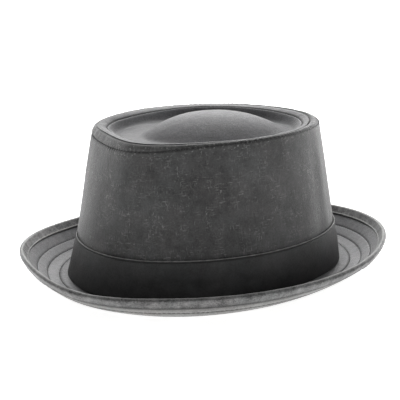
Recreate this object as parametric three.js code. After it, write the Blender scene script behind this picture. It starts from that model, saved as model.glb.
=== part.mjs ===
// A pork pie hat of waxed cloth: a tapering crown with a stitched rim, a dome that rises out of a
// sunken channel, a plain band round the foot, and a two-ply brim that turns up to a bound edge.
//
// Each piece is lofted through closed rings. A ring follows one line round the hat, moved out along
// that line's level normal and up, so neighbouring pieces share their lines and stay a gap apart.

import { Box3, BufferGeometry, Group, MathUtils, Mesh, MeshStandardMaterial, Vector3 } from 'three';
import { LoftGeometry } from 'three/addons/geometries/LoftGeometry.js';
import { mergeGeometries } from 'three/addons/utils/BufferGeometryUtils.js';

// Driving sizes, in millimetres. X runs across the hat, -Y is its front and +Z is up.
const gap = 0.3; // left between pieces that lie on each other

const headLength = 198; // inside the crown's foot, front to back: a 58 cm head
const headWidth = 168; // the same from side to side
const crownWall = 1.5; // thickness of the side's cloth
const crownHeight = 107.5; // from the brim's root to the highest part of the crest seam

const topLength = 169.6; // round the stitch row under the rim, front to back
const topWidth = 150.6; // the same from side to side
const topLean = 3.9; // how far the top's middle lies behind the head opening's

const rimRun = 4.2; // widest part of the rim, from its stitch row in to the crest seam, seen from above
const rimRise = 6.9; // how far the crest seam stands over the stitch row at the front
const rimPuff = 0.8; // how far the padded rim swells out between its two rows
const crestDip = 1.5; // how much lower the crest seam is at the back

const tipWall = 1.5; // thickness of the top's cloth
const tipTurnDown = 5; // the top's edge, turned down inside the rim
const ledgeWidth = 8; // flat edge of the top, from the crest seam to its stitch row
const ledgeDrop = 2.2; // how far that edge falls inwards
const channelRun = 8.5; // sloping wall of the channel, seen from above
const channelDrop = 5.8; // the same wall's depth
const channelFront = 12; // floor of the channel at the front
const channelSide = 11.4; // the same at the sides
const channelRear = 7; // the same at the back
const domeHeight = 14.8; // from the channel's floor to the top of the dome

const bandHeight = 30.3; // top edge of the band over the brim's root, at the sides
const bandTilt = 1.1; // how much higher that edge is at the back, and lower at the front
const bandWall = 1.4; // thickness of the folded band

const brimWidth = 43; // along the cloth, from the crown to the bound edge
const brimSway = 2.6; // how far the brim's root line dips and rises round the hat
const brimStretch = 1.5; // how far the brim's plan leaves an even width
const plyWall = 1; // thickness of each of the brim's two plies
const bindingWidth = 7.5; // strip folded over the brim's edge
const bindingWall = 1; // thickness of that strip

// Shares without a length
const domePower = 2.36; // the dome falls off with this power of the distance from its top
const domeTaper = 0.08; // how much narrower the dome is at the front than at the back
const brimCurl = 0.17; // most that the brim's turn-up differs round the hat
const segments = 72; // flats round each ring

// The crown's top line by its angle from the front, the same on both sides, in even steps. plan is a
// share of the oval's radius (below 1 at the flattened front, above 1 at its corners), and run, rise
// and dip are shares of rimRun, rimRise and crestDip.
const crownTable = [
  { angle: 0, plan: 0.948, run: 0.95, rise: 1.0, dip: 0.33 },
  { angle: 15, plan: 0.973, run: 0.85, rise: 0.96, dip: 0.3 },
  { angle: 30, plan: 1.027, run: 0.8, rise: 0.84, dip: 0.25 },
  { angle: 45, plan: 1.04, run: 0.85, rise: 0.62, dip: 0.2 },
  { angle: 60, plan: 1.01, run: 1.0, rise: 0.34, dip: 0.1 },
  { angle: 75, plan: 1.0, run: 1.0, rise: 0.18, dip: 0.0 },
  { angle: 90, plan: 1.0, run: 0.95, rise: 0.1, dip: 0.0 },
  { angle: 105, plan: 0.989, run: 0.9, rise: 0.06, dip: 0.05 },
  { angle: 120, plan: 0.976, run: 0.95, rise: 0.06, dip: 0.25 },
  { angle: 135, plan: 0.971, run: 1.0, rise: 0.08, dip: 0.5 },
  { angle: 150, plan: 0.974, run: 1.0, rise: 0.12, dip: 0.75 },
  { angle: 165, plan: 0.98, run: 1.0, rise: 0.16, dip: 0.93 },
  { angle: 180, plan: 0.986, run: 0.95, rise: 0.19, dip: 1.0 },
];

// The brim round the hat, by the angle from the front towards the wearer's left, in even steps.
// lift, curl and spread are shares of brimSway, brimCurl and brimStretch.
const brimTable = [
  { angle: 0, lift: 0.25, curl: 0.2, spread: 0.5 },
  { angle: 30, lift: -0.85, curl: -1.0, spread: -0.15 },
  { angle: 60, lift: -1.0, curl: -0.65, spread: -0.15 },
  { angle: 90, lift: -0.5, curl: -0.65, spread: -0.5 },
  { angle: 120, lift: 0.35, curl: -1.0, spread: -1.0 },
  { angle: 150, lift: 0.3, curl: 0.3, spread: -0.1 },
  { angle: 180, lift: 0.35, curl: 0.0, spread: 0.8 },
  { angle: 210, lift: 0.0, curl: -0.25, spread: 0.65 },
  { angle: 240, lift: -0.05, curl: -0.2, spread: 0.35 },
  { angle: 270, lift: -0.05, curl: -0.15, spread: 0.1 },
  { angle: 300, lift: 0.1, curl: -0.15, spread: 0.0 },
  { angle: 330, lift: 0.6, curl: -0.1, spread: 1.1 },
];

// The brim's slope in degrees, at shares of its width from the crown outwards
const slopeTable = [
  { share: 0, slope: -9 },
  { share: 0.2, slope: 3 },
  { share: 0.4, slope: 26 },
  { share: 0.6, slope: 38 },
  { share: 0.8, slope: 49 },
  { share: 1, slope: 65 },
];

// A column of a ring table at an angle, by a cubic that runs smoothly through the rows
function column(table, name, angle, wraps) {
  const step = MathUtils.degToRad(table[1].angle - table[0].angle);
  const place = angle / step;
  const row = Math.floor(place);
  const share = place - row;
  const count = table.length;
  const value = (index) => {
    const wrapped = MathUtils.euclideanModulo(index, wraps ? count : 2 * (count - 1));
    return table[wrapped < count ? wrapped : 2 * (count - 1) - wrapped][name];
  };
  const [before, from, to, after] = [-1, 0, 1, 2].map((offset) => value(row + offset));
  const bend = 2 * before - 5 * from + 4 * to - after;
  const twist = 3 * from - before - 3 * to + after;
  return from + 0.5 * share * (to - before + share * (bend + share * twist));
}

const crownShare = (name, angle) => column(crownTable, name, angle, false);
const brimShare = (name, angle) => column(brimTable, name, angle, true);

// Lines round the hat. Each is a function of the angle from the front towards the wearer's left.

// Outer face of the crown's side, at a height over the brim's root
function wallLine(height) {
  return (angle) => {
    const plan = crownShare('plan', angle);
    const share = height(angle) / stitchHeight(angle);
    const halfWidth = MathUtils.lerp(headWidth / 2 + crownWall, (topWidth / 2) * plan, share);
    const halfLength = MathUtils.lerp(headLength / 2 + crownWall, (topLength / 2) * plan, share);
    const middle = topLean * share;
    return new Vector3(halfWidth * Math.sin(angle), middle - halfLength * Math.cos(angle), height(angle));
  };
}

const crestHeight = (angle) => crownHeight - crestDip * crownShare('dip', angle);
const riseAt = (angle) => rimRise * crownShare('rise', angle);
const runAt = (angle) => rimRun * crownShare('run', angle);
const stitchHeight = (angle) => crestHeight(angle) - riseAt(angle);
const rootHeight = (angle) => brimSway * brimShare('lift', angle);

const stitchLine = wallLine(stitchHeight); // stitch row under the rim
const crestLine = offsetLine(stitchLine, (angle) => -runAt(angle), riseAt);
const ledgeLine = offsetLine(crestLine, -ledgeWidth, -ledgeDrop);
const floorLine = offsetLine(ledgeLine, -channelRun, -channelDrop);

// A level unit vector that points out of the hat, square to a line
function normalAt(line, angle) {
  const reach = Math.PI / segments;
  const along = line(angle + reach).sub(line(angle - reach));
  return new Vector3(along.y, -along.x, 0).normalize();
}

// A line moved out and up by lengths that may change with the angle
function offsetLine(line, out, up) {
  const length = (size, angle) => (typeof size === 'function' ? size(angle) : size);
  return (angle) => {
    const moved = line(angle).addScaledVector(normalAt(line, angle), length(out, angle));
    moved.z += length(up, angle);
    return moved;
  };
}

// The points of a line at even angles, and an offset line's points
function ring(line) {
  return Array.from({ length: segments }, (_, index) => line((2 * Math.PI * index) / segments));
}

const ringAt = (line, out, up) => ring(offsetLine(line, out, up));

// Rings in the order of a section that runs up outside and down inside, closed on itself
const hoop = (rings) => new LoftGeometry([...rings, rings[0]]);

// A fan of triangles between a pole and a ring, facing up or down
function fan(points, pole, facesUp) {
  const corners = points.flatMap((point, index) => {
    const next = points[(index + 1) % points.length];
    return facesUp ? [pole, point, next] : [pole, next, point];
  });
  return new BufferGeometry().setFromPoints(corners);
}

// Rings from the middle of the underside out to the edge and back in to the middle of the top
function lid(rings, lowPole, highPole) {
  const wall = new LoftGeometry(rings).toNonIndexed();
  wall.deleteAttribute('normal');
  wall.deleteAttribute('uv');
  const surface = mergeGeometries([wall, fan(rings[0], lowPole, false), fan(rings.at(-1), highPole, true)]);
  surface.computeVertexNormals();
  return surface;
}

const pliesHalf = plyWall + gap / 2; // from the middle of the brim's cloth to either face
const footHeight = (angle) => rootHeight(angle) - pliesHalf;
const bandFoot = (angle) => rootHeight(angle) + pliesHalf + gap;
const bandEdge = (angle) => bandHeight - bandTilt * Math.cos(angle);
const bandShoulder = (angle) => bandEdge(angle) - bandWall / 2;

// Crown side: foot, tapering wall, swelling rim and the cut edge at the crest seam
function crownSide() {
  const slant = (angle) => Math.hypot(runAt(angle), riseAt(angle));
  const edgeDepth = (angle) => (-crownWall * slant(angle)) / runAt(angle);
  const cornerDrop = (angle) => (crownWall * riseAt(angle)) / runAt(angle) + edgeDepth(angle);
  const puffOut = (angle) => (rimPuff * riseAt(angle)) / slant(angle) - runAt(angle) / 2;
  const puffUp = (angle) => (rimPuff * runAt(angle)) / slant(angle) + riseAt(angle) / 2;
  return hoop([
    ring(wallLine(footHeight)),
    ring(wallLine(bandFoot)),
    ring(wallLine(bandShoulder)),
    ring(stitchLine),
    ringAt(stitchLine, puffOut, puffUp),
    ring(crestLine),
    ringAt(crestLine, 0, edgeDepth),
    ringAt(stitchLine, -crownWall, cornerDrop),
    ringAt(wallLine(bandShoulder), -crownWall, 0),
    ringAt(wallLine(footHeight), -crownWall, 0),
  ]);
}

// Crown tip: turned-down edge, ledge, channel and dome in one cloth
function crownTip() {
  const front = topLean - floorLine(0).y - channelFront;
  const rear = floorLine(Math.PI).y - topLean - channelRear;
  const halfWidth = floorLine(Math.PI / 2).x - channelSide;
  const floorHeight = crownHeight - ledgeDrop - channelDrop;
  const domeHeightAt = (share) => floorHeight + domeHeight * (1 - share ** domePower);
  const domeRing = (share, drop) => ring((angle) => {
    const turn = Math.cos(angle);
    return new Vector3(
      halfWidth * share * Math.sin(angle) * (1 - domeTaper * turn),
      topLean - (turn > 0 ? front : rear) * share * turn,
      domeHeightAt(share) - drop,
    );
  });
  const domePole = (drop) => new Vector3(0, topLean, domeHeightAt(0) - drop);
  const shares = [1, 0.8, 0.55, 0.28];
  const inside = -gap - tipWall;
  return lid([
    ...[...shares].reverse().map((share) => domeRing(share, tipWall)),
    ringAt(floorLine, 0, -tipWall),
    ringAt(ledgeLine, 0, -tipWall),
    ringAt(crestLine, inside, -tipWall),
    ringAt(crestLine, inside, -tipTurnDown),
    ringAt(crestLine, -gap, -tipTurnDown),
    ringAt(crestLine, -gap, 0),
    ring(ledgeLine),
    ring(floorLine),
    ...shares.map((share) => domeRing(share, 0)),
  ], domePole(tipWall), domePole(0));
}

// Band: a folded strip round the foot of the wall
function band() {
  return hoop([
    ringAt(wallLine(bandFoot), gap + bandWall, 0),
    ringAt(wallLine(bandShoulder), gap + bandWall, 0),
    ringAt(wallLine(bandEdge), gap + bandWall / 2, 0),
    ringAt(wallLine(bandShoulder), gap, 0),
    ringAt(wallLine(bandFoot), gap, 0),
  ]);
}

// Brim: a ring at a distance along the cloth and a height off its middle. The section's slope is
// added up in short steps, and past its end the cloth runs straight on.
const plyWidth = brimWidth - gap - bindingWall;
const rootSlope = MathUtils.degToRad(slopeTable[0].slope);
const rootClear = gap - pliesHalf * Math.sin(rootSlope);
const rootLine = offsetLine(wallLine(footHeight), rootClear, pliesHalf);

function slopeAt(share, angle) {
  const last = slopeTable.length - 1;
  const place = MathUtils.clamp(share, 0, 1) * last;
  const row = Math.min(Math.floor(place), last - 1);
  const slope = MathUtils.lerp(slopeTable[row].slope, slopeTable[row + 1].slope, place - row);
  return MathUtils.degToRad(slope) * (1 + brimCurl * brimShare('curl', angle));
}

function brimRing(distance, height) {
  const steps = 60;
  return ring((angle) => {
    const reach = new Vector3(brimStretch * brimShare('spread', angle) * (distance / brimWidth), 0, 0);
    for (let index = 0; index < steps; index += 1) {
      const slope = slopeAt(((index + 0.5) / steps) * (distance / brimWidth), angle);
      reach.x += (Math.cos(slope) * distance) / steps;
      reach.z += (Math.sin(slope) * distance) / steps;
    }
    const slope = slopeAt(distance / brimWidth, angle);
    reach.x -= height * Math.sin(slope);
    reach.z += height * Math.cos(slope);
    const point = rootLine(angle).addScaledVector(normalAt(rootLine, angle), reach.x);
    point.z += reach.z;
    return point;
  });
}

// One ply of the brim between two heights off the middle of the cloth
const bindingStart = brimWidth - bindingWidth;
const bindingMiddle = (bindingStart + plyWidth) / 2;

function brimPly(low, high) {
  const open = [0, 0.25, 0.5, 0.75, 1].map((share) => share * bindingStart);
  const distances = [...open, bindingMiddle, plyWidth];
  return hoop([
    ...distances.map((distance) => brimRing(distance, low)),
    ...distances.reverse().map((distance) => brimRing(distance, high)),
  ]);
}

// Binding: a strip folded over the edges of both plies
function brimBinding() {
  const inner = pliesHalf + gap;
  const outer = inner + bindingWall;
  const turn = plyWidth + gap;
  return hoop([
    brimRing(bindingStart, -outer),
    brimRing(bindingMiddle, -outer),
    brimRing(turn, -outer),
    brimRing(brimWidth, -inner / 2),
    brimRing(brimWidth, inner / 2),
    brimRing(turn, outer),
    brimRing(bindingMiddle, outer),
    brimRing(bindingStart, outer),
    brimRing(bindingStart, inner),
    brimRing(bindingMiddle, inner),
    brimRing(turn, inner),
    brimRing(turn, -inner),
    brimRing(bindingMiddle, -inner),
    brimRing(bindingStart, -inner),
  ]);
}

function piece(name, geometry, color, roughness) {
  const mesh = new Mesh(geometry, new MeshStandardMaterial({ color, roughness, metalness: 0 }));
  mesh.name = name;
  return mesh;
}

const hat = new Group();
hat.add(
  piece('crown_side', crownSide(), '#4b4b4a', 0.8),
  piece('crown_tip', crownTip(), '#5c5c5a', 0.78),
  piece('band', band(), '#2a2a2b', 0.75),
  piece('brim_upper', brimPly(gap / 2, pliesHalf), '#646563', 0.8),
  piece('brim_under', brimPly(-pliesHalf, -gap / 2), '#4f4f4d', 0.85),
  piece('brim_binding', brimBinding(), '#5a5a57', 0.8),
);

// The hat stands on the lowest part of its brim, centred over the origin
const bounds = new Box3().setFromObject(hat);
const centre = bounds.getCenter(new Vector3());
hat.position.set(-centre.x, -centre.y, -bounds.min.z);

export default hat;
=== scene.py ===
import bpy
import numpy as np
from mathutils import Matrix, Vector


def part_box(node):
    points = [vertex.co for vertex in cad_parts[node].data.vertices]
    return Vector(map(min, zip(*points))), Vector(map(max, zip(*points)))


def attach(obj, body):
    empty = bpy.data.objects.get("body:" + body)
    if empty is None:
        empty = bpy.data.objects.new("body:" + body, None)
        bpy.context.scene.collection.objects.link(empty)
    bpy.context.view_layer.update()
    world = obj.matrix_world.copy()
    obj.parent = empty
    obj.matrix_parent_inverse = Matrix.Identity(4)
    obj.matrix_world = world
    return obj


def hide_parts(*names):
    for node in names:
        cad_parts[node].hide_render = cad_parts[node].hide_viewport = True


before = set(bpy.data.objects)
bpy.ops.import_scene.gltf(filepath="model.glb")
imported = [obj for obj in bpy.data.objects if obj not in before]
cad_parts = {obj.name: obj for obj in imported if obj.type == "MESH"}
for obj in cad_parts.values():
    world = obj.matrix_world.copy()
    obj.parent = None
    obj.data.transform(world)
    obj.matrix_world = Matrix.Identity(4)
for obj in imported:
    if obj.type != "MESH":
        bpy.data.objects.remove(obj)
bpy.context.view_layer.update()  # the solids, in metres, standing on z = 0
print("loaded", len(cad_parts), "solids")

mm = 0.001
columns = 720  # points round each ring
fullTurn = 2 * np.pi
angles = np.arange(columns) * (fullTurn / columns)  # from the front towards the wearer's left

hatForm = {
    "gap": 0.3,  # left between pieces that lie on each other
    "headLength": 198,  # inside the crown's foot, front to back
    "headWidth": 168,  # the same from side to side
    "crownWall": 1.5,
    "crownHeight": 107.5,  # from the brim's root to the highest part of the crest seam
    "topLength": 169.6,  # round the stitch row under the rim, front to back
    "topWidth": 150.6,  # the same from side to side
    "topLean": 3.9,  # how far the top's middle lies behind the head opening's
    "rimRun": 4.2,  # widest part of the rim, seen from above
    "rimRise": 6.9,  # how far the crest seam stands over the stitch row at the front
    "crestDip": 1.5,  # how much lower the crest seam is at the back
    # The crown's top line at every 15 degrees from the front to the back, alike on both sides: the
    # plan as a share of an oval's, and shares of rimRun, rimRise and crestDip
    "plan": [0.948, 0.973, 1.027, 1.04, 1.01, 1, 1, 0.989, 0.976, 0.971, 0.974, 0.98, 0.986],
    "run": [0.95, 0.85, 0.8, 0.85, 1, 1, 0.95, 0.9, 0.95, 1, 1, 1, 0.95],
    "rise": [1, 0.96, 0.84, 0.62, 0.34, 0.18, 0.1, 0.06, 0.06, 0.08, 0.12, 0.16, 0.19],
    "dip": [0.33, 0.3, 0.25, 0.2, 0.1, 0, 0, 0.05, 0.25, 0.5, 0.75, 0.93, 1],
    # At every 30 degrees from the front towards the wearer's left: mm from the crest down to its seam,
    # mm that the seam lies in past the crest instead, and the ledge's fall as a share of ledgeDrop
    "seamDown": [0.5, 0.5, 0.4, 0.4, 0.4, 0.4, 0.6, 1.2, 1.6, 1.6, 1.2, 0.6],
    "seamIn": [0, 0, 0, 0, 0, 2.6, 0.8, 0, 0, 0, 0, 0.3],
    "fall": [1, 1, 1, 1, 1, 1, 0.9, 0.35, 0, 0.3, 0.95, 1],
    "crestLift": [0, 0, 0, 0, 0, 0, 0, 0, 0, 0.25, 1.2, 0],  # mm that the crest stands higher there
}


# A column of a table round the hat. In words: between two rows the value is the cubic that leaves the
# first and meets the second with half the difference of their outer neighbours as its slope.
def aroundHat(shares, mirrored=False):
    ring = np.array(shares + shares[-2:0:-1] if mirrored else shares, float)
    place = angles / fullTurn * len(ring)
    row = np.floor(place).astype(int)
    share = place - row
    before, start, end, after = (ring[(row + step) % len(ring)] for step in (-1, 0, 1, 2))
    bend = 2 * before - 5 * start + 4 * end - after
    twist = 3 * start - before - 3 * end + after
    return start + 0.5 * share * (end - before + share * (bend + share * twist))


# Level unit vectors out of the hat, square to each ring. In words: the step from the point before to
# the point after, turned a quarter outwards.
def levelNormals(points):
    along = np.roll(points, -1, axis=-2) - np.roll(points, 1, axis=-2)
    normals = np.stack([along[..., 1], -along[..., 0], np.zeros(along.shape[:-1])], -1)
    return normals / np.linalg.norm(normals, axis=-1, keepdims=True)


# Rings moved out along their level normals and up
def moved(points, out, up=0.0):
    shift = levelNormals(points) * np.asarray(out, float)[..., None]
    return points + shift + np.asarray(up, float)[..., None] * np.array([0.0, 0.0, 1.0])


crownPlan, crownRun, crownRise, crownDip = (
    aroundHat(hatForm[name], mirrored=True) for name in ("plan", "run", "rise", "dip"))
runAt = hatForm["rimRun"] * crownRun
riseAt = hatForm["rimRise"] * crownRise
crestLift = aroundHat(hatForm["crestLift"])
crestHeight = hatForm["crownHeight"] - hatForm["crestDip"] * crownDip + crestLift
stitchHeight = crestHeight - riseAt


# The crown's outer face. In words: at a height, the oval that lies the same share of the way from the
# foot's oval to the stitch row's, moved out along its level normal.
def wallPoints(height, out=0.0):
    share = height / stitchHeight
    footHalfWidth = hatForm["headWidth"] / 2 + hatForm["crownWall"]
    footHalfLength = hatForm["headLength"] / 2 + hatForm["crownWall"]
    halfWidth = footHalfWidth + (hatForm["topWidth"] / 2 * crownPlan - footHalfWidth) * share
    halfLength = footHalfLength + (hatForm["topLength"] / 2 * crownPlan - footHalfLength) * share
    side = halfWidth * np.sin(angles)
    length = hatForm["topLean"] * share - halfLength * np.cos(angles)
    return moved(np.stack([side, length, height + np.zeros_like(side)], -1), out)


# Where the seam between side and tip lies: down the rim's slant from the crest by rollAt, and past
# the crest along the ledge by overAt where the side's cloth rolls over
slantAt = np.hypot(runAt, riseAt)
overAt = np.maximum(0, aroundHat(hatForm["seamIn"]))
rollAt = aroundHat(hatForm["seamDown"]) * np.clip(1 - overAt, 0, 1)
fallAt = aroundHat(hatForm["fall"])
seamAt = 1 - rollAt / slantAt


waveDraws = 14  # numbers of waves drawn for one ripple


# A ripple round the hat. In words: the sum of cosines of whole numbers of waves round the ring, each
# with its own seeded start and a drift down the rows, over the root of how many there are.
def ripple(rows, fewest, most, seed, drift=0.0):
    random = np.random.default_rng(seed)
    total = np.zeros(np.broadcast_shapes(np.shape(rows), angles.shape))
    counts = np.unique(random.integers(fewest, most + 1, waveDraws))
    for count in counts:
        start = random.uniform(0, fullTurn)
        slide = random.uniform(-drift, drift)
        total = total + np.cos(count * angles + start + slide * rows)
    return total / np.sqrt(len(counts))


# A narrow trench at a distance of 0, 1 deep. In words: a bell curve of the distance over the width.
def trench(distance, width):
    return np.exp(-(distance / width) ** 2)


# A trench of a strength at a place, all three from a piece's dictionary
def softLine(way, line):
    strength, place, width = line
    return strength * trench(way - place, width)


# A half wave over the shares from 0 to 1, fuller than a sine where the power is under 1
def halfWave(share, power=1.0):
    return np.maximum(0, np.sin(np.pi * share)) ** power


# Pale flecks, one in so many points of a grid of rings
def flecks(rows, oneIn, seed):
    return (np.random.default_rng(seed).random((rows, columns)) < 1 / oneIn).astype(float)


# Rows of values as one block, each part spread round the hat
def stacked(*parts):
    return np.concatenate([np.broadcast_to(part, (len(part), columns)) for part in parts])


# Steps along a section: each stop is a place and the number of steps up to it
def steps(start, *stops):
    parts = []
    for place, count in stops:
        parts.append(np.linspace(start, place, count, endpoint=False))
        start = place
    return np.append(np.concatenate(parts), start)


tipForm = {
    "wall": 1.5,
    "turnDown": 5,  # the top's edge, turned down inside the rim
    "ledgeWidth": 8,  # from the crest seam to the inner stitch row
    "ledgeDrop": 2.2,
    "channelRun": 8.5,  # sloping wall of the channel
    "channelDrop": 5.8,
    "channelFront": 12,  # floor of the channel at the front, the sides and the back
    "channelSide": 11.4,
    "channelRear": 7,
    "domeHeight": 14.8,
    "domePower": 2.36,  # the dome falls off with this power of the distance from its top
    "domeTaper": 0.08,  # how much narrower it is at the front
    "ledgePuff": 0.5,  # swell of the ledge between its two seams
    "ledgePaintedShade": 0.25,  # painted shade laid over the whole ledge, which is the dome's own cloth
    "seam": (0.55, 0, 0.75),  # strength, place and width of its sinking
    "soften": 1.3,  # rounding where the dome and the wall meet the floor
    "stitch": 2,  # length of a stitch of the ledge's row
    "rollReach": 1.1,  # how far it rolls past the crest, as a share of rollAt
    "rollLeast": 0.7,  # mm that it does so at least
    "rollLean": 0.2,  # share of rollAt that its middle point stands out
    "rollIn": 0.15,  # mm that the point stands in, and up over the crest
    "rollUp": 0.3,
    "rollDive": (0.9, 0, 0.5),  # strength, place and width of its dive at the join
    "rollInward": 0.7,  # share of the dive that goes inwards
    "rollGap": 0.1,
    "puffStart": 2,  # mm past the roll in which the ledge's swell grows
    "puffLow": 0.4,  # share of the swell where the ledge doesn't fall
    "uneven": 0.25,  # waves of the channel's wall and floor
    "tuck": 0.5,  # mm that the inside's outer corner lies lower
    # Strength, place and width in mm, or in shares for the roll's crest line: wear and painted highlight
    "rollWearAndHighlight": (1.8, 0.8, 0.25),
    "rollShade": (1.0, 0, 0.6),
    "ledgeWear": (0.3, 0, 1.0),
    "rowShade": (0.9, 0, 0.65),
}
bandForm = {
    "height": 30.3,  # top edge over the brim's root, at the sides
    "tilt": 1.1,  # how much higher it is at the back and lower at the front
    "wall": 1.4,
    "bulge": 0.35,
    "flare": 2.2,  # how far the foot stands out at the front
    "foldRadius": 0.5,  # cord-like fold along the top edge
    "foldOut": 0.25,  # how far the fold stands out past the band's face
    "uneven": 0.22,
    "flareTurn": -15,  # degrees from the front to the middle of the flare
    "footGap": 0.1,  # between the band's foot and the brim's cloth
    # Strength, place and width in mm down from the fold, or in shares of the height from the foot
    "foldGroove": (0.5, 0.9, 0.55),
    "foldSwell": (0.2, 0, 0.4),
    "foldWear": (0.7, 0, 0.35),
    "grooveShade": (0.9, 0.9, 0.4),
    "footShade": (0.5, 0, 0.12),
}
brimForm = {
    "width": 43,  # along the cloth, from the crown to the bound edge
    "sway": 2.6,  # how far the root line dips and rises
    "stretch": 1.5,  # how far the plan leaves an even width
    "curl": 0.17,  # most that the turn-up differs round the hat
    "pliesHalf": 1.15,  # from the middle of the cloth to the solids' faces
    "clothHalf": 1.08,  # the same to the finished faces
    "rows": [8.7, 17.6, 26.1],  # stitch rows, from the crown along the cloth
    "rowDepth": 0.42,
    "rowWidth": 0.8,
    "rowNear": 1.8,  # how far from a row its rings stand closer
    "puff": 0.22,  # swell between two rows
    "pucker": 0.05,
    "stripDip": (0.25, 0, 1.2),  # strength, place and width of the dip at the binding's edge
    "endGap": 0.4,  # between a ply's end and the inside of the binding's turn
    "plyGap": 0.04,  # from the middle of the cloth to a ply's inner face
    "sums": 60,  # steps in the sum of the slopes
    # On top (1) and under the brim (-1)
    "stitch": {1: 1.7, -1: 2.4},  # length of a stitch
    "edgeShade": {1: (0.97, -0.25, 0.9), -1: (0.97, -1.3, 1.4)},  # beside the binding
    "rowShade": {1: 0.6, -1: 1.6},
    "rowShadeWidth": 0.6,
    "rootShade": {1: [(0.3, 2.0, 2.0), (0.3, 0, 8.0)], -1: []},  # beside the band
    "rub": 0.1,  # wear of the swells
    # Shares of sway, curl and stretch at every 30 degrees from the front to the wearer's left
    "liftShares": [0.3, -0.8, -1.15, -0.65, 0.5, 0.3, 0.35, 0, -0.05, -0.05, 0.1, 0.6],
    "curlShares": [0.5, -0.7, -0.15, -0.5, -1, 0.3, 0, -0.25, -0.2, -0.15, -0.25, -0.05],
    "stretchShares": [0.65, -0.15, -0.15, -0.5, -1, -0.1, 0.8, 0.65, 0.35, 0.1, 0, 1.4],
    "slopes": [-9, 3, 26, 38, 49, 65],  # degrees, at even shares of the width
}
bindingForm = {
    "strip": 7.5,  # folded over the brim's edge, this far on both sides
    "inner": 1.14,  # faces of the strip from the middle of the cloth
    "outer": 1.72,
    "lip": (0.3, 0.5, 0.55),  # raised fold along both of the strip's edges
    "edgeRound": 0.35,
    "seamInset": 0.15,  # stitch row from the strip's edge, under the brim
    "fine": 0.07,  # height of the short and the long waves round the edge
    "slow": 0.12,
    # Strength, place and width: in mm from the strip's edge, or radians round the turn
    "underWear": (0.4, 0.5, 0.5),
    # the pale line round the turn is wear and a painted highlight along the edge's top
    "turnWear": (1.6, 0.7, 0.45),
    "topWear": (2.2, 0.6, 0.45),
    "underShade": (1.0, 0, 0.85),
    "turnShade": (0.5, -0.65, 0.35),
    "topShade": (0.8, 0, 0.2),
}

bandTop = bandForm["height"] - bandForm["tilt"] * np.cos(angles)
rootHeight = brimForm["sway"] * aroundHat(brimForm["liftShares"])
footHeight = rootHeight - brimForm["pliesHalf"]
bandFoot = rootHeight + brimForm["pliesHalf"] + hatForm["gap"]
stitchLine = wallPoints(stitchHeight)
crestLine = moved(stitchLine, -runAt, riseAt)
ledgeSlope = tipForm["ledgeDrop"] / tipForm["ledgeWidth"] * fallAt
ledgeLine = moved(crestLine, -tipForm["ledgeWidth"], -ledgeSlope * tipForm["ledgeWidth"])
seamOut = -runAt * seamAt - overAt
seamUp = riseAt * seamAt - ledgeSlope * overAt
channelDrop = tipForm["channelDrop"] + tipForm["ledgeDrop"] * (1 - fallAt)
floorLine = moved(ledgeLine, -tipForm["channelRun"], -channelDrop)
floorHeight = hatForm["crownHeight"] - tipForm["ledgeDrop"] - tipForm["channelDrop"]

# Where the hat stands, from the solids: it is even about its middle, the band's foot gives the front
# and the dome's top the height.
bandFront = wallPoints(bandFoot, hatForm["gap"] + bandForm["wall"])[0, 1]
tipLow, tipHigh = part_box("crown_tip")
hatShift = np.array([
    (tipLow.x + tipHigh.x) / 2 / mm,
    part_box("band")[0].y / mm - bandFront,
    tipHigh.z / mm - floorHeight - tipForm["domeHeight"],
])
print("hat's place in mm", np.round(hatShift, 3))

# Camera and light

cameraForm = {
    "azimuth": 66.9,  # degrees from the hat's front towards the wearer's left
    "elevation": 14.6,
    "roll": -1.64,
    "distance": 917,
    "aimHeight": 50.7,  # over the brim's root, in the hat's middle
    "lens": 112.3,
    "sensor": 36,
    "shiftX": -0.0112,
    "shiftY": -0.0048,
}
lightForm = {
    "world": 0.3,
    "boxes": [
        # name, degrees to the camera's right, elevation, distance in m, width and height in m, watts
        ("back_box", 180, 22, 1.9, 1.3, 1.0, 16),
        ("top_box", 178, 54, 1.7, 0.9, 0.9, 17),
        ("left_box", -128, 18, 1.4, 0.5, 0.9, 3.4),
        ("right_box", 132, 4, 1.4, 0.6, 0.9, 10),
        ("right_fill", 66, 2, 2.0, 1.0, 0.8, 6.5),
        ("left_fill", -56, 2, 2.0, 1.2, 0.8, 3),
    ],
    "floorSize": 30,  # metres
    "floorDrop": 0.0007,  # the cloth's swell hangs this far below the solids
    "floorColor": (0.85, 0.85, 0.85, 1),
    "floorRoughness": 0.9,
    "floorGlow": 0.8,  # keeps the paper even and pale far from the lamps
}


# A unit vector from the hat, by degrees round it from the front and degrees up
def direction(azimuth, elevation):
    turn = np.radians(azimuth)
    rise = np.radians(elevation)
    return Vector((np.sin(turn) * np.cos(rise), -np.cos(turn) * np.cos(rise), np.sin(rise)))


# A new object in the scene
def addObject(name, data):
    thing = bpy.data.objects.new(name, data)
    bpy.context.scene.collection.objects.link(thing)
    return thing


# Values or links for a node's inputs
def setInputs(tree, node, inputs):
    for name, value in inputs.items():
        if isinstance(value, bpy.types.NodeSocket):
            tree.links.new(value, node.inputs[name])
        else:
            node.inputs[name].default_value = value


aim = Vector(hatShift * mm) + Vector((0, 0, cameraForm["aimHeight"] * mm))


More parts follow.
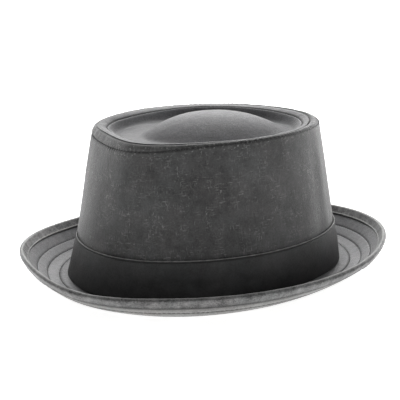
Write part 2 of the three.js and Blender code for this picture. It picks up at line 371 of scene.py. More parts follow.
def addCamera():
    data = bpy.data.cameras.new("photo_camera")
    data.lens = cameraForm["lens"]
    data.sensor_width = cameraForm["sensor"]
    data.sensor_height = cameraForm["sensor"]
    data.shift_x = cameraForm["shiftX"]
    data.shift_y = cameraForm["shiftY"]
    data.clip_start = 0.05
    camera = addObject("photo_camera", data)
    back = direction(cameraForm["azimuth"], cameraForm["elevation"])
    right = Vector((0, 0, 1)).cross(back).normalized()
    turned = Matrix.Rotation(np.radians(cameraForm["roll"]), 3, back)
    right = turned @ right
    up = back.cross(right)
    axes = Matrix((right, up, back)).transposed().to_4x4()
    camera.matrix_world = Matrix.Translation(aim + back * cameraForm["distance"] * mm) @ axes
    bpy.context.scene.camera = camera


def addLights():
    for name, side, elevation, distance, width, height, watts in lightForm["boxes"]:
        data = bpy.data.lights.new(name, "AREA")
        data.shape = "RECTANGLE"
        data.size = width
        data.size_y = height
        data.energy = watts
        lamp = addObject(name, data)
        away = direction(cameraForm["azimuth"] + side, elevation)
        facing = away.to_track_quat("Z", "Y").to_matrix().to_4x4()
        lamp.matrix_world = Matrix.Translation(aim + away * distance) @ facing
    world = bpy.data.worlds.new("studio")
    world.use_nodes = True
    sky = world.node_tree.nodes["Background"]
    sky.inputs["Color"].default_value = (1, 1, 1, 1)
    sky.inputs["Strength"].default_value = lightForm["world"]
    bpy.context.scene.world = world
    bpy.context.scene.view_settings.view_transform = "Standard"


def addFloor():
    half = lightForm["floorSize"] / 2
    mesh = bpy.data.meshes.new("floor")
    low = -lightForm["floorDrop"]
    corners = [(-half, -half, low), (half, -half, low), (half, half, low), (-half, half, low)]
    mesh.from_pydata(corners, [], [(0, 1, 2, 3)])
    floor = addObject("floor", mesh)
    paper = bpy.data.materials.new("pale_floor")
    paper.use_nodes = True
    setInputs(paper.node_tree, paper.node_tree.nodes["Principled BSDF"], {
        "Base Color": lightForm["floorColor"], "Roughness": lightForm["floorRoughness"],
        "Emission Color": (1, 1, 1, 1), "Emission Strength": lightForm["floorGlow"]})
    mesh.materials.append(paper)


addCamera()
addLights()
addFloor()
print("camera, lights and floor are set")

# Cloth and thread

# A node of a kind, with settings for itself
def addNode(tree, kind, inputs=None, **settings):
    node = tree.nodes.new("ShaderNode" + kind)
    for name, value in settings.items():
        setattr(node, name, value)
    setInputs(tree, node, inputs or {})
    return node


def mathNode(tree, operation, *values, clamp=False):
    return addNode(tree, "Math", dict(enumerate(values)), operation=operation, use_clamp=clamp).outputs[0]


# Noise on millimetre coordinates: size is the width of its blots in mm, stretched along X, Y and Z
def noiseNode(tree, coordinates, size, stretch=(1, 1, 1), detail=4.0, roughness=0.55, distortion=0.0):
    scale = tuple(1 / (size * factor) for factor in stretch)
    placed = addNode(tree, "Mapping", {"Vector": coordinates, "Scale": scale})
    noise = addNode(tree, "TexNoise", {
        "Vector": placed.outputs[0], "Scale": 1.0, "Detail": detail,
        "Roughness": roughness, "Distortion": distortion})
    return noise.outputs[0]


def levels(tree, value, low, high, toLow=0.0, toHigh=1.0):
    ranged = addNode(tree, "MapRange", {
        "Value": value, "From Min": low, "From Max": high, "To Min": toLow, "To Max": toHigh})
    return ranged.outputs[0]


def mixColor(tree, factor, colorA, colorB, blend="MIX"):
    inputs = {0: factor, 6: colorA, 7: colorB}
    return addNode(tree, "Mix", inputs, data_type="RGBA", blend_type=blend).outputs[2]


# Relief of so many mm, over another one where that is given as the normal
def relief(tree, height, strength, depth, **normal):
    inputs = {"Height": height, "Strength": strength, "Distance": depth * mm, **normal}
    return addNode(tree, "Bump", inputs).outputs[0]


clothLook = {
    "color": (0.035, 0.0347, 0.0349),  # base colour of the waxed cloth
    "warm": (1.03, 1.0, 1.0),  # tints that the patches lean to
    "cool": (0.98, 1.01, 1.01),
    "wornColor": (0.2, 0.2, 0.195),  # where the wax has rubbed off, and where light is painted on
    "fleckColor": (0.19, 0.19, 0.185),
    "patch": 1.0,  # how strongly each scale of mottling shows
    "mottle": 1.6,
    "grain": 1.15,
    "fleck": 0.85,
    "darkest": 0.25,  # least share of the base colour that mottling leaves
    "roughness": (0.52, 0.72),
    "weave": "UV",  # UV for strips, Object for cloth cut flat
    "weaveSize": 0.75,  # mm from thread to thread
    "weaveDepth": 0.05,  # mm of relief, here and in the next two
    "grainDepth": 0.25,
    "mottleDepth": 0.8,
    "sheen": 0.45,
    "sheenRoughness": 0.4,
}


# A new material, its tree, its shader, its texture coordinates, and the object's own in mm
def startMaterial(name):
    material = bpy.data.materials.new(name)
    material.use_nodes = True
    tree = material.node_tree
    source = addNode(tree, "TexCoord")
    inMm = addNode(tree, "Mapping", {"Vector": source.outputs["Object"], "Scale": (1 / mm, 1 / mm, 1 / mm)})
    return material, tree, tree.nodes["Principled BSDF"], source, inMm.outputs[0]


# Waxed cloth. In words: the base colour times wide patches, mottling and grain, with pale flecks
# dragged along both threads, paler where wear and painted light are high and darker where shade is painted.
def clothMaterial(name, **changes):
    look = {**clothLook, **changes}
    material, tree, shader, source, inMm = startMaterial(name)
    wearAndLight = addNode(tree, "Attribute", attribute_name="wearAndLight").outputs["Fac"]
    shade = addNode(tree, "Attribute", attribute_name="shade").outputs["Fac"]

    patches = noiseNode(tree, inMm, 34, detail=3.0)
    mottle = noiseNode(tree, inMm, 7, detail=6.0, roughness=0.65)
    grain = noiseNode(tree, inMm, 1.1, detail=3.0, roughness=0.7)
    tint = noiseNode(tree, inMm, 22, detail=2.0)

    strength = 1.0
    for noise, amount in ((patches, look["patch"]), (mottle, look["mottle"]), (grain, look["grain"])):
        swing = mathNode(tree, "MULTIPLY_ADD", noise, 2 * amount, -amount)
        strength = mathNode(tree, "ADD", strength, swing)
    strength = mathNode(tree, "MAXIMUM", strength, look["darkest"])
    tinted = mixColor(tree, levels(tree, tint, 0.35, 0.65), (*look["cool"], 1), (*look["warm"], 1))
    color = mixColor(tree, 1.0, (*look["color"], 1), tinted, "MULTIPLY")
    color = mixColor(tree, 1.0, color, strength, "MULTIPLY")

    level = noiseNode(tree, inMm, 1.0, stretch=(5, 5, 0.9), detail=3.0, roughness=0.6)
    upright = noiseNode(tree, inMm, 1.0, stretch=(0.9, 0.9, 5), detail=3.0, roughness=0.6)
    dots = noiseNode(tree, inMm, 1.8, detail=2.0, roughness=0.5)
    drawn = mathNode(tree, "MAXIMUM", levels(tree, level, 0.58, 0.72), levels(tree, upright, 0.58, 0.72))
    drawn = mathNode(tree, "MAXIMUM", drawn, levels(tree, dots, 0.64, 0.74))
    where = levels(tree, noiseNode(tree, inMm, 13, detail=3.0), 0.4, 0.62)
    fleck = mathNode(tree, "MULTIPLY", mathNode(tree, "MULTIPLY", drawn, where), look["fleck"])
    color = mixColor(tree, fleck, color, (*look["fleckColor"], 1))

    # wear and painted light both pale the colour towards the same paler colour
    worn = mathNode(tree, "MULTIPLY", wearAndLight, levels(tree, mottle, 0.3, 0.7, 0.35, 1.0), clamp=True)
    color = mixColor(tree, worn, color, (*look["wornColor"], 1))
    lightShare = mathNode(tree, "SUBTRACT", 1.0, shade, clamp=True)
    color = mixColor(tree, 1.0, color, lightShare, "MULTIPLY")

    threads = source.outputs["UV"] if look["weave"] == "UV" else inMm
    waveScale = fullTurn / 20 / look["weaveSize"]  # a wave node has 20 / (2 pi) bands to a unit
    weft, warp = (
        addNode(tree, "TexWave", {"Vector": threads, "Scale": waveScale, "Distortion": 0.6},
                bands_direction=way).outputs["Fac"]
        for way in ("X", "Y"))
    weave = relief(tree, mathNode(tree, "MULTIPLY", weft, warp), 0.5, look["weaveDepth"])
    grained = relief(tree, grain, 0.6, look["grainDepth"], Normal=weave)
    setInputs(tree, shader, {
        "Base Color": color,
        "Roughness": levels(tree, mottle, 0.3, 0.7, *look["roughness"]),
        "Sheen Weight": look["sheen"],
        "Sheen Roughness": look["sheenRoughness"],
        "Normal": relief(tree, mottle, 0.5, look["mottleDepth"], Normal=grained)})
    return material


threadLook = {
    "color": (0.018, 0.018, 0.018),
    "dustyAndLit": (0.09, 0.09, 0.09),  # where dust clings to the thread
    "dustSize": 2.2,  # mm
    "plyScale": 1.1,
    "plyDepth": 0.08,  # mm of relief of the twisted plies
    "roughness": 0.6,
}


# Thread. In words: its dark colour with dusty blots, and slanting waves as the relief of its plies.
def threadMaterial(name):
    look = threadLook
    material, tree, shader, _, inMm = startMaterial(name)
    dustAndLight = levels(tree, noiseNode(tree, inMm, look["dustSize"], detail=3.0, roughness=0.6), 0.55, 0.8)
    plies = addNode(tree, "TexWave", {"Vector": inMm, "Scale": look["plyScale"], "Distortion": 1.5},
                    bands_direction="DIAGONAL")
    setInputs(tree, shader, {
        "Base Color": mixColor(tree, dustAndLight, (*look["color"], 1), (*look["dustyAndLit"], 1)),
        "Roughness": look["roughness"],
        "Normal": relief(tree, plies.outputs["Fac"], 0.5, look["plyDepth"])})
    return material


# Meshes

# A grid of rings as a mesh: rows closed on themselves, or ended by a pole below and above. Each
# corner's UV is its way round the hat and along the section in mm, so a weave has its real size.
def ringMesh(name, points, material, wearAndLight, shade, poles=None):
    rows = len(points)
    index = np.arange(rows * columns).reshape(rows, columns)
    beside = np.roll(index, -1, axis=1)
    if poles is None:
        lower, upper = index, np.roll(index, -1, axis=0)
        lowerBeside, upperBeside = beside, np.roll(beside, -1, axis=0)
    else:
        lower, upper = index[:-1], index[1:]
        lowerBeside, upperBeside = beside[:-1], beside[1:]
    quads = np.stack([lower, lowerBeside, upperBeside, upper], -1).reshape(-1, 4)
    along = np.linalg.norm(np.diff(points, axis=0, append=points[:1]), axis=-1).mean(axis=1)
    way = np.append(0, np.cumsum(along))
    reach = np.linalg.norm(points[..., :2], axis=-1).mean()
    girth = np.arange(columns + 1) * (fullTurn / columns) * reach
    left, low = np.meshgrid(girth[:-1], way[:len(lower)])
    right, high = np.meshgrid(girth[1:], way[1:len(lower) + 1])
    uv = np.stack([left, low, right, low, right, high, left, high], -1).reshape(-1, 2)
    vertices = points.reshape(-1, 3)
    corners = quads.reshape(-1)
    sizes = np.full(len(quads), 4)
    wearAndLight, shade = (values.reshape(-1) for values in (wearAndLight, shade))
    if poles is not None:
        lowPole, highPole = len(vertices), len(vertices) + 1
        vertices = np.concatenate([vertices, poles])
        lowFan = np.stack([np.full(columns, lowPole), beside[0], index[0]], -1)
        highFan = np.stack([np.full(columns, highPole), index[-1], beside[-1]], -1)
        corners = np.concatenate([corners, lowFan.reshape(-1), highFan.reshape(-1)])
        sizes = np.concatenate([sizes, np.full(2 * columns, 3)])
        uv = np.concatenate([uv, np.zeros((6 * columns, 2))])
        wearAndLight, shade = (np.append(values, [values[0], values[-1]]) for values in (wearAndLight, shade))
    return plainMesh(name, vertices, corners, sizes, material, uv, wearAndLight, shade)


# Vertices in the hat's millimetres and corner lists into a mesh object at the origin
def plainMesh(name, vertices, corners, sizes, material, uv=None, wearAndLight=None, shade=None):
    mesh = bpy.data.meshes.new(name)
    mesh.vertices.add(len(vertices))
    mesh.vertices.foreach_set("co", ((vertices + hatShift) * mm).astype(np.float32).reshape(-1))
    mesh.loops.add(len(corners))
    mesh.loops.foreach_set("vertex_index", corners.astype(np.int32))
    mesh.polygons.add(len(sizes))
    mesh.polygons.foreach_set("loop_start", (np.cumsum(sizes) - sizes).astype(np.int32))
    mesh.update(calc_edges=True)
    mesh.validate()
    mesh.polygons.foreach_set("use_smooth", np.ones(len(sizes), bool))
    if uv is not None:
        layer = mesh.uv_layers.new(name="cloth")
        layer.data.foreach_set("uv", uv.astype(np.float32).reshape(-1))
    for label, values in (("wearAndLight", wearAndLight), ("shade", shade)):
        if values is not None:
            attribute = mesh.attributes.new(label, "FLOAT", "POINT")
            attribute.data.foreach_set("value", values.astype(np.float32))
    mesh.materials.append(material)
    piece = addObject(name, mesh)
    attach(piece, "root")
    print("made", name, len(vertices), "vertices")
    return piece


# Unit normals of a grid of rings. In words: the step round the hat crossed with the step along the
# section.
def faceNormals(points):
    around = np.roll(points, -1, axis=1) - np.roll(points, 1, axis=1)
    normals = np.cross(around, np.gradient(points, axis=0))
    return normals / np.linalg.norm(normals, axis=-1, keepdims=True)


threadForm = {
    "length": 2.5,  # of one stitch
    "space": 0.8,  # from stitch to stitch
    "radius": 0.27,
    "sink": 0.22,  # how far its ends dive into the cloth
    "endSwell": 0.12,  # share of the half wave that is cut off at each end
    "fullness": 0.6,  # power of the half wave
    "rings": 5,
    "sides": 6,
}


# The way along a closed line, up to each of its points and back to the first
def wayAlong(line):
    return np.append(0, np.cumsum(np.linalg.norm(np.roll(line, -1, axis=0) - line, axis=1)))


# A wave in step with the stitches of a closed line. In words: the cosine of the way along the line,
# one turn to a stitch and its space, with its crests so many mm past each stitch's start.
def stitchWave(line, length, place):
    way = wayAlong(line)
    count = way[-1] // (length + threadForm["space"])
    return np.cos(fullTurn * (way[:-1] - place) / way[-1] * count)


# Rows of stitches as one mesh. In words: along a closed line, each stitch is a tube whose radius
# swells as a half wave from end to end, with its ends sunk into the cloth.
def stitchRows(name, rows, material, **changes):
    form = {**threadForm, **changes}
    vertices, corners, sizes = [], [], []
    first = 0
    for line, normals in rows:
        way = wayAlong(line)
        count = int(way[-1] // (form["length"] + form["space"]))
        share = np.linspace(0, 1, form["rings"])
        places = np.arange(count)[:, None] * (way[-1] / count) + share * form["length"]

        def read(values):
            ring = np.concatenate([values, values[:1]])
            return np.stack([np.interp(places, way, ring[:, axis]) for axis in range(3)], -1)

        middle = read(line)
        up = read(normals)
        up /= np.linalg.norm(up, axis=-1, keepdims=True)
        ahead = np.gradient(middle, axis=1)
        ahead /= np.linalg.norm(ahead, axis=-1, keepdims=True)
        side = np.cross(ahead, up)
        swell = halfWave(form["endSwell"] + (1 - 2 * form["endSwell"]) * share, form["fullness"])
        height = form["radius"] * 0.5 - form["sink"] * (2 * share - 1) ** 4
        middle = middle + up * height[:, None]
        around = np.arange(form["sides"]) * fullTurn / form["sides"]
        reach = form["radius"] * swell[:, None, None]
        tube = middle[:, :, None] + reach * (
            np.cos(around)[:, None] * side[:, :, None] + np.sin(around)[:, None] * up[:, :, None])
        size = form["rings"] * form["sides"]
        grid = np.arange(size).reshape(form["rings"], form["sides"])
        beside = np.roll(grid, -1, axis=1)
        quads = np.stack([grid[:-1], beside[:-1], beside[1:], grid[1:]], -1).reshape(-1)
        pattern = np.concatenate([quads, grid[0, ::-1], grid[-1]])
        starts = first + np.arange(count)[:, None] * size
        vertices.append(tube.reshape(-1, 3))
        corners.append((pattern + starts).reshape(-1))
        faceSizes = np.append(np.full(len(quads) // 4, 4), [form["sides"], form["sides"]])
        sizes.append(np.tile(faceSizes, count))
        first += count * size
    parts = (np.concatenate(lists) for lists in (vertices, corners, sizes))
    return plainMesh(name, *parts, material)


# Crown side

sideForm = {
    "wave": 0.4,  # slow unevenness of the wall
    "bulge": 1.6,  # swell of the wall over the band, most of it at the front
    "bulgeTurn": -20,  # degrees from the front to its middle
    "bulgeEven": 0.25,  # share of it that goes all round
    "bulgeStart": 3,  # mm over the band in which it grows
    "bulgeEnd": 28,  # mm under the rim in which it ends
    "ridge": 0.55,  # soft upright ridge in the wall
    "ridgeTurn": 139,  # degrees from the front to it
    "ridgeWidth": 4.5,  # degrees
    "hollow": 0.6,  # depth of the hollow beside it, as a share of its height
    "hollowStep": 1.9,  # how far off the hollow lies, in the ridge's widths
    "puff": 0.7,  # swell of the padded rim between its two seams
    "puffLeast": 5,  # mm of slant under which the swell is less
    "seamDepth": 0.75,
    "seamWidth": 0.9,
    "threadDeep": 0.7,  # share of the seam's depth under a thread
    "holeDeep": 0.6,  # share that a needle hole adds
    "crestSeam": (0.9, 0, 0.7),  # strength, place and width of its sinking
    "pucker": 0.19,  # height of the small gathers along the rim's lower seam
    "puckerPlace": 1.1,  # mm from the seam
    "puckerWidths": (1.5, 1.3),  # on the wall and on the rim
    "puckerShade": 0.35,
    "edgeMiddle": 0.6,  # place of the extra ring on the cut edge
    # Wear, painted light and shade: strength, place and width in mm
    "wallWearAndLight": (0.1, 2.0, 1.0),  # under the rim's seam
    "wallFlecks": (2.0, 2.0, 2.2),
    "rimFlecks": 2.0,
    "rimWear": (0.3, 1.3, 0.9),  # under the crest seam
    "rimRub": 0.12,
    "threadShade": 0.3,
    "holeShade": 0.75,
    "shadeWidth": 0.85,
    "bandShade": (0.25, 0.3, 1.2),  # over the band's top edge
    "crestShade": (1.0, 0, 0.6),
    "dustAndLight": (0.085, 45, 24),  # painted light: paler places low on the wall's two flanks, by height over the brim's root
    "litFlankTurns": [3, 119],  # degrees from the front to their middles
    "litFlankWidth": 24,  # degrees
}


# In words: the wall's oval at each height, waved a little, swollen over the band, with a soft upright
# ridge, and sunk at the stitch row; then the rim, which runs up a slant from the stitch row to the
# crest and over it to the seam, swelling as a half wave; then the cut edge and the plain inner face.
def makeCrownSide():
    form = sideForm
    share = steps(0, (0.3, 8), (0.93, 34), (1, 16))[:-1, None]
    height = footHeight + (stitchHeight - footHeight) * share
    under = stitchHeight - height
    wave = form["wave"] * ripple(share, 2, 9, 11, drift=5.0) * halfWave(share, 0.7)
    facing = (1 + np.cos(angles - np.radians(form["bulgeTurn"]))) / 2
    overBand = np.clip((height - bandTop + 1) / form["bulgeStart"], 0, 1)
    overBand = overBand * np.clip(under / form["bulgeEnd"], 0, 1) ** 0.8
    even = form["bulgeEven"]
    wave = wave + form["bulge"] * (even + (1 - even) * facing ** 1.5) * overBand
    fromRidge = (np.degrees(angles) - form["ridgeTurn"]) / form["ridgeWidth"]
    hollow = form["hollow"] * trench(fromRidge + form["hollowStep"], 1)
    wave = wave + form["ridge"] * (trench(fromRidge, 1) - hollow) * overBand

    # the thread pulls the seam in, most of all at its holes and where it is tight
    tight = np.clip(0.5 + 0.5 * ripple(0, 4, 18, 14), 0, 1.3)
    holes = stitchWave(stitchLine, threadForm["length"], threadForm["length"] + threadForm["space"] / 2)
    pull = 0.5 + 0.5 * holes * (0.4 + 0.5 * tight)
    seamSink = form["seamDepth"] * (form["threadDeep"] + form["holeDeep"] * pull)
    pucker = form["pucker"] * tight
    onWall, onRim = form["puckerWidths"]
    gathers = pucker * ripple(under, 90, 190, 5, drift=0.6) * trench(under - form["puckerPlace"], onWall)
    wall = wallPoints(height, wave + gathers - seamSink * trench(under, form["seamWidth"]))

    seamWay = seamAt + overAt / slantAt
    way = steps(0, (0.25, 8), (0.75, 8), (1, 9))[:, None] * seamWay
    across = np.minimum(way, 1)
    past = np.maximum(way - 1, 0) * slantAt
    fromSeam = way * slantAt
    toCrest = (seamWay - way) * slantAt
    swell = form["puff"] * halfWave(way / np.maximum(seamWay, 1), 0.8)
    swell = swell * (1 + 0.1 * ripple(across, 20, 60, 8, drift=1.0))
    swell = swell * np.clip(slantAt / form["puffLeast"], 0.5, 1)
    swell = swell - seamSink * trench(fromSeam, form["seamWidth"])
    swell = swell - softLine(toCrest, form["crestSeam"])
    swell = swell + pucker * ripple(across, 90, 190, 6) * trench(fromSeam - form["puckerPlace"], onRim)
    out = -runAt * across - past + swell * riseAt / slantAt
    up = riseAt * across - ledgeSlope * past + swell * runAt / slantAt
    rim = moved(stitchLine, out, up)

    wallThick = hatForm["crownWall"]
    edgeDepth = -wallThick * slantAt / runAt
    cornerDrop = wallThick * riseAt / runAt + edgeDepth
    inShare = steps(1, (0, 14))[1:, None]
    inner = wallPoints(footHeight + (stitchHeight + cornerDrop - footHeight) * inShare, -wallThick)
    turned = [
        moved(stitchLine, seamOut, seamUp + edgeDepth * form["edgeMiddle"]),
        moved(stitchLine, seamOut, seamUp + edgeDepth),
        moved(stitchLine, -wallThick, cornerDrop),
    ]
    points = np.concatenate([wall, rim, turned, inner])

    wallWearAndLight = softLine(under, form["wallWearAndLight"])
    wallWearAndLight = wallWearAndLight + flecks(len(height), 45, 15) * softLine(under, form["wallFlecks"])
    # painted light: the wall is paler low on its two flanks, at these turns from the front
    turns = [(np.degrees(angles) - turn + 180) % 360 - 180 for turn in form["litFlankTurns"]]
    dustyAndLit = sum(trench(turn, form["litFlankWidth"]) for turn in turns)
    wallWearAndLight = wallWearAndLight + softLine(height, form["dustAndLight"]) * dustyAndLit
    rimWear = softLine(toCrest, form["rimWear"]) + form["rimRub"] * halfWave(across)
    rimWear = rimWear + form["rimFlecks"] * flecks(len(way), 40, 16) * np.clip(1.4 - way, 0, 1)
    seamShade = form["threadShade"] + form["holeShade"] * pull
    wallShade = seamShade * trench(under, form["shadeWidth"]) + softLine(height - bandTop, form["bandShade"])
    gathered = np.clip(ripple(across, 90, 190, 6, drift=4.0), 0, 1) * np.clip(1.2 - across, 0, 1)
    rimShade = seamShade * trench(fromSeam, form["shadeWidth"]) + softLine(toCrest, form["crestShade"])
    rimShade = rimShade + form["puckerShade"] * gathered
    blank = np.zeros((len(turned) + len(inner), 1))
    wearAndLight = stacked(wallWearAndLight, rimWear, blank)
    shade = stacked(wallShade, rimShade, blank)
    piece = ringMesh("hat_crown_side", points, clothMaterial("crown_cloth"), wearAndLight, shade)
    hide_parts("crown_side")
    return points[len(wall)], faceNormals(points)[len(wall)]


rimSeam = makeCrownSide()


# Crown tip


# In words: the cloth rolls out of the seam over the crest, the ledge swells in to its stitch row, the
# wall drops from there to the floor as half a cosine, and the dome is its height times one less the
# power of the share of the way out. Dome and wall meet the floor by the mean of their height and the
# root of its square plus a softening square.
def makeCrownTip():
    form = tipForm
    lean = hatForm["topLean"]
    gap = hatForm["gap"]
    width = form["ledgeWidth"]
    front = lean - floorLine[0, 1] - form["channelFront"]
    rear = floorLine[columns // 2, 1] - lean - form["channelRear"]
    halfWidth = floorLine[columns // 4, 0] - form["channelSide"]
    cosines = np.cos(angles)
    domeReach = np.where(cosines > 0, front, rear) * np.abs(cosines)

    def soft(height):
        return (height + np.sqrt(height ** 2 + form["soften"] ** 2)) / 2

    def domeRings(share, drop):
        side = halfWidth * share * np.sin(angles) * (1 - form["domeTaper"] * cosines)
        length = lean - np.sign(cosines) * domeReach * share
        height = floorHeight + soft(form["domeHeight"] * (1 - share ** form["domePower"])) - drop
        return np.stack([side, length, height + 0 * side], -1)

    # the roll from the seam over the crest
    over = steps(0, (1, 10))[:-1, None]
    rolled = overAt + np.maximum(form["rollReach"] * rollAt, form["rollLeast"])

    def curve(start, middle, end):
        return start * (1 - over) ** 2 + 2 * over * (1 - over) * middle + over ** 2 * end

    middleOut = form["rollLean"] * rollAt - runAt - overAt - form["rollIn"]
    middleUp = riseAt + form["rollUp"] - ledgeSlope * overAt
    rollOut = curve(seamOut, middleOut, -runAt - rolled)
    rollUp = curve(seamUp, middleUp, riseAt - ledgeSlope * rolled)
    fromJoin = over * (rollAt + form["rollLeast"])
    rollDeep = softLine(fromJoin, form["rollDive"])
    roll = moved(stitchLine, rollOut - form["rollInward"] * rollDeep - form["rollGap"], rollUp - rollDeep)

    inward = steps(0, (0.25, 12), (0.85, 8), (1, 8))[:-1, None]
    inward = inward + (1 - inward) * rolled / width
    depth = inward * width
    toRow = width - depth
    puff = form["ledgePuff"] * halfWave(inward, 0.7) * (1 + 0.15 * ripple(inward, 12, 50, 21, drift=1.5))
    puff = puff * np.clip((depth - rolled) / form["puffStart"], 0, 1)
    puff = puff * (form["puffLow"] + (1 - form["puffLow"]) * fallAt)
    ledge = moved(crestLine, -depth, -ledgeSlope * depth + puff - softLine(toRow, form["seam"]))

    fall = steps(0, (0.15, 8), (1, 14))[:-1, None]
    run = fall * form["channelRun"]
    drop = channelDrop * (1 - np.cos(np.pi * fall ** 0.9)) / 2
    uneven = form["uneven"] * ripple(fall, 3, 12, 31, drift=2.0) * fall
    channel = moved(ledgeLine, -run, -drop - softLine(run, form["seam"]) + uneven)

    domeEdge = domeRings(np.ones((1, 1)), 0)[0]
    cross = steps(0, (1, 10))[:-1, None]
    floorPoints = floorLine + (domeEdge - floorLine) * cross[..., None]
    distance = np.linalg.norm((domeEdge - floorLine)[:, :2], axis=1) * (1 - cross)
    domeSlope = form["domePower"] * form["domeHeight"] / halfWidth
    lift = soft(-domeSlope * distance) - soft(0) * cross
    floorPoints[..., 2] += lift + form["uneven"] * ripple(cross, 3, 12, 31) * (1 - cross)
    shares = steps(1, (0.7, 12), (0.04, 22))[:, None]
    dome = domeRings(shares, 0)

    wall = form["wall"]
    inside = -gap - wall
    edges = [
        moved(floorLine, 0, -wall),
        moved(ledgeLine, 0, -wall),
        moved(crestLine, inside, -wall - form["tuck"]),
        moved(crestLine, inside, -form["turnDown"]),
        moved(crestLine, -gap, -form["turnDown"]),
        moved(stitchLine, seamOut - 0.5 * rollAt - gap, seamUp - form["turnDown"] / 2),
    ]
    under = np.concatenate([domeRings(shares[::-3], wall), edges])
    points = np.concatenate([under, roll, ledge, channel, floorPoints, dome])

    blank = np.zeros((len(under), 1))
    rest = np.zeros((len(floorPoints) + len(dome), 1))
    # painted shade: darker at the row's groove and over the whole ledge
    ledgePaintedShade = softLine(toRow, form["rowShade"]) + form["ledgePaintedShade"]
    # the roll's pale crest line is wear and a painted highlight
    wearAndLight = stacked(blank, softLine(over, form["rollWearAndHighlight"]), softLine(depth - rolled, form["ledgeWear"]),
                   np.zeros((len(channel), 1)), rest)
    shade = stacked(blank, softLine(fromJoin, form["rollShade"]), ledgePaintedShade,
                    softLine(run, form["rowShade"]), rest)
    top = floorHeight + soft(form["domeHeight"])
    poles = np.array([[0, lean, top - wall], [0, lean, top]])
    # painted light: the tip is the side's cloth, but its colour is about twice as pale because it faces the
    # light from above
    material = clothMaterial("tip_cloth", weave="Object", color=(0.0725, 0.0715, 0.0761), fleck=0.3,
                             mottle=0.7, patch=0.7, grain=0.9, roughness=(0.54, 0.66), sheen=0.3)
    piece = ringMesh("hat_crown_tip", points, material, wearAndLight, shade, poles)
    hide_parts("crown_tip")
    seamRow = len(under) + len(roll) + len(ledge)
    return points[seamRow], faceNormals(points)[seamRow]


ledgeSeam = makeCrownTip()


# Band


# In words: the wall's line moved out by the gap and the band's thickness, swelling as a half wave from
# foot to top and flaring at the front, with a groove and then a round fold that turns over the edge to
# the wall.
def makeBand():
    form = bandForm
    gap = hatForm["gap"]
    radius = form["foldRadius"]
    foot = rootHeight + brimForm["clothHalf"] + form["footGap"]
    top = bandTop - radius
    up = steps(0, (0.1, 5), (0.88, 20), (1, 14))[:-1, None]
    height = foot + (top - foot) * up
    below = top - height
    face = gap + form["wall"] + form["bulge"] * halfWave(up)
    face = face + form["uneven"] * ripple(up, 3, 14, 41, drift=3.0) * halfWave(up)
    facing = np.clip(np.cos(angles - np.radians(form["flareTurn"])), 0, 1)
    face = face + form["flare"] * (1 - up) * facing ** 1.5
    face = face - softLine(below, form["foldGroove"]) + softLine(below, form["foldSwell"])
    outer = wallPoints(height, face)
    turn = steps(0, (1, 10))[:, None]
    middleOut = gap + form["wall"] + form["foldOut"] - radius
    fold = wallPoints(top + radius * np.sin(np.pi * turn), middleOut + radius * np.cos(np.pi * turn))
    down = steps(1, (0, 6))[1:, None]
    inner = wallPoints(foot + (top - foot) * down, gap)
    points = np.concatenate([outer, fold, inner])
    frayed = np.clip(1.1 + 0.25 * ripple(0, 30, 120, 43), 0, 1.6)
    wearAndLight = stacked(softLine(below, form["foldWear"]), frayed * halfWave(turn, 0.5), np.zeros((len(inner), 1)))
    shade = stacked(softLine(below, form["grooveShade"]) + softLine(up, form["footShade"]),
                    np.zeros((len(fold) + len(inner), 1)))
    material = clothMaterial("band_cloth", color=(0.032, 0.032, 0.0323), wornColor=(0.3, 0.3, 0.295),
                             fleckColor=(0.05, 0.05, 0.05), fleck=0.2, mottle=1.0, patch=1.0, grain=0.8,
                             roughness=(0.6, 0.75), sheen=0.05)
    piece = ringMesh("hat_band", points, material, wearAndLight, shade)
    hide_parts("band")


makeBand()


# Brim

rootSlope = np.radians(brimForm["slopes"][0])
rootOut = hatForm["gap"] - brimForm["pliesHalf"] * np.sin(rootSlope)
rootLine = moved(wallPoints(footHeight), rootOut, brimForm["pliesHalf"])
curlAt = 1 + brimForm["curl"] * aroundHat(brimForm["curlShares"])
stretchAt = brimForm["stretch"] * aroundHat(brimForm["stretchShares"])


# A point of the brim. In words: the slopes' cosines and sines, summed along the cloth up to the
# distance, move it out and up from the root line, and its height stands square to the cloth.
def brimPoints(distance, height):
    distance = np.asarray(distance, float).reshape(-1, 1)
    places = np.linspace(0, 1, len(brimForm["slopes"]))

    def slopeAt(share):
        return np.radians(np.interp(share, places, brimForm["slopes"])) * curlAt

    count = brimForm["sums"]
    out = stretchAt * distance / brimForm["width"] + np.zeros((len(distance), columns))
    up = np.zeros((len(distance), columns))
    for index in range(count):
        slope = slopeAt((index + 0.5) / count * distance / brimForm["width"])
        out += np.cos(slope) * distance / count
        up += np.sin(slope) * distance / count
    slope = slopeAt(distance / brimForm["width"])
    return moved(rootLine, out - height * np.sin(slope), up + height * np.cos(slope))


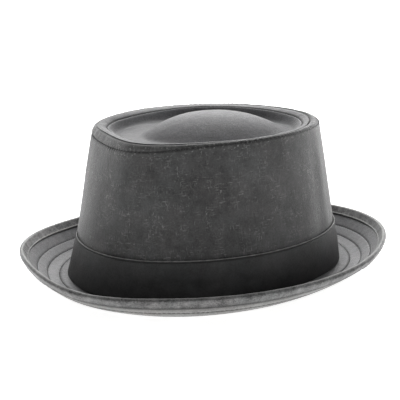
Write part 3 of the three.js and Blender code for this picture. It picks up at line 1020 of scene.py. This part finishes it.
# One ply of the brim. In words: its outer face swells as half waves between the stitch rows, with a
# trench at each row and at the binding's edge; the face between the plies is plain.
def makePly(name, side, material, seed):
    form = brimForm
    stripEdge = form["width"] - bindingForm["strip"]
    end = form["width"] - bindingForm["outer"] - form["endGap"]
    near = form["rowNear"]
    stops = [stop for row in form["rows"] for stop in ((row - near, 8), (row, 6), (row + near, 6))]
    distance = steps(0, *stops, (stripEdge - 1.4, 6), (stripEdge + 0.8, 8), (end, 5))[:, None]
    borders = np.array([0, *form["rows"], stripEdge])
    panel = np.clip(np.searchsorted(borders, distance[:, 0], side="right") - 1, 0, len(borders) - 2)
    within = (distance[:, 0] - borders[panel]) / (borders[panel + 1] - borders[panel])
    swell = form["puff"] * halfWave(np.clip(within, 0, 1))[:, None]
    rows = sum(trench(distance - row, form["rowWidth"]) for row in form["rows"])
    gathers = form["pucker"] * ripple(distance, 60, 140, seed) * np.clip(rows + 0.2, 0, 1)
    height = form["clothHalf"] + swell - form["rowDepth"] * rows + gathers
    height = height - softLine(distance - stripEdge, form["stripDip"])
    face = brimPoints(distance, side * height)
    plain = brimPoints(distance[::4], side * form["plyGap"])
    normals = -side * faceNormals(face)
    nearest = [int(np.argmin(np.abs(distance[:, 0] - row))) for row in form["rows"]]
    lines = [(face[index], normals[index]) for index in nearest]

    shade = softLine(distance - stripEdge, form["edgeShade"][side])
    for row, (line, _) in zip(form["rows"], lines):
        length = form["stitch"][side]
        dashes = 1 if side > 0 else 0.5 + 0.5 * stitchWave(line, length, length / 2)
        shade = shade + form["rowShade"][side] * trench(distance - row, form["rowShadeWidth"]) * dashes
    for line in form["rootShade"][side]:
        shade = shade + softLine(distance, line)

    # the underside runs out first and the top side runs back in
    def section(outside, inside):
        return np.concatenate([inside, outside[::-1]] if side > 0 else [outside, inside[::-1]])

    hidden = np.zeros((len(plain), columns))
    wearAndLight = section(stacked(form["rub"] * swell / form["puff"]), hidden)
    piece = ringMesh(name, section(face, plain), material, wearAndLight, section(stacked(shade), hidden))
    return piece, lines


# painted light: the brim's top is the side's cloth, but its colour is about twice as pale because it faces
# the light from above
upperCloth = clothMaterial("brim_cloth", weave="Object", color=(0.0745, 0.073, 0.0786), fleck=0.3, mottle=1.0,
                           patch=0.8, grain=1.0, roughness=(0.45, 0.58))
underCloth = clothMaterial("underbrim_cloth", weave="Object", color=(0.163, 0.159, 0.153), fleck=0.3,
                           mottle=1.1, patch=0.8, grain=1.2, roughness=(0.55, 0.7))
upperPly, upperRows = makePly("hat_brim_upper", 1, upperCloth, 51)
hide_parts("brim_upper")
underPly, underRows = makePly("hat_brim_under", -1, underCloth, 61)
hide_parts("brim_under")


# Binding

# In words: the strip's outer face runs out under the brim, turns half round its edge and runs back on
# top, with a raised lip along both of its edges; its inner face is plain.
def makeBinding():
    form = bindingForm
    width = brimForm["width"]
    outer = form["outer"]
    start = width - form["strip"]
    turnAt = width - outer
    inTurn = turnAt + 0.3
    # a closed section in the order under, edge, top, inside
    underWay = steps(start, (start + 2.6, 12), (turnAt, 6))[:-1, None]
    turn = steps(-np.pi / 2, (np.pi / 2, 12))[:, None]
    topWay = steps(turnAt, (start + 2.6, 6), (start, 12))[1:, None]

    def face(fromEdge):
        rounded = (outer - form["inner"]) * trench(fromEdge, form["edgeRound"])
        return outer + softLine(fromEdge, form["lip"]) - rounded

    waves = form["fine"] * ripple(0, 60, 150, 71) + form["slow"] * ripple(0, 12, 40, 72)
    fromUnder = underWay - start
    fromTop = topWay - start
    points = np.concatenate([
        brimPoints(underWay, -(face(fromUnder) + waves)),
        brimPoints(turnAt + outer * np.cos(turn), outer * np.sin(turn) * (1 + waves / outer)),
        brimPoints(topWay, face(fromTop) + waves),
        brimPoints(steps(start, (turnAt, 4), (inTurn, 1)), form["inner"]),
        brimPoints(steps(inTurn, (turnAt, 1), (start, 4)), -form["inner"])])
    hidden = np.zeros((len(points) - len(underWay) - len(turn) - len(topWay), 1))
    # pale lines are wear, round the turn also a painted highlight; the dark lines are painted shade
    wearAndLight, shade = (
        stacked(softLine(fromUnder, form["under" + kind]), softLine(turn, form["turn" + kind]),
                softLine(fromTop, form["top" + kind]), hidden)
        for kind in ("Wear", "Shade"))
    material = clothMaterial("binding_cloth", color=(0.112, 0.111, 0.11), wornColor=(0.32, 0.32, 0.31),
                             fleck=0.9, mottle=2.2, patch=1.2, grain=1.8, roughness=(0.5, 0.66))
    piece = ringMesh("hat_brim_binding", points, material, wearAndLight, shade)
    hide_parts("brim_binding")
    underRow = int(np.argmin(np.abs(fromUnder[:, 0] - form["seamInset"])))
    return [(points[underRow], faceNormals(points)[underRow])]


bindingRows = makeBinding()


# Stitches

darkThread = threadMaterial("dark_thread")
for name, rows, slotName, length in (
        ("thread_rim", [rimSeam], "crown_cloth", threadForm["length"]),
        ("thread_ledge", [ledgeSeam], "tip_cloth", tipForm["stitch"]),
        ("thread_brim", upperRows, "brim_cloth", brimForm["stitch"][1]),
        ("thread_underbrim", underRows, "underbrim_cloth", brimForm["stitch"][-1]),
        ("thread_binding", bindingRows, "binding_cloth", threadForm["length"])):
    thread = stitchRows(name, rows, darkThread, length=length)
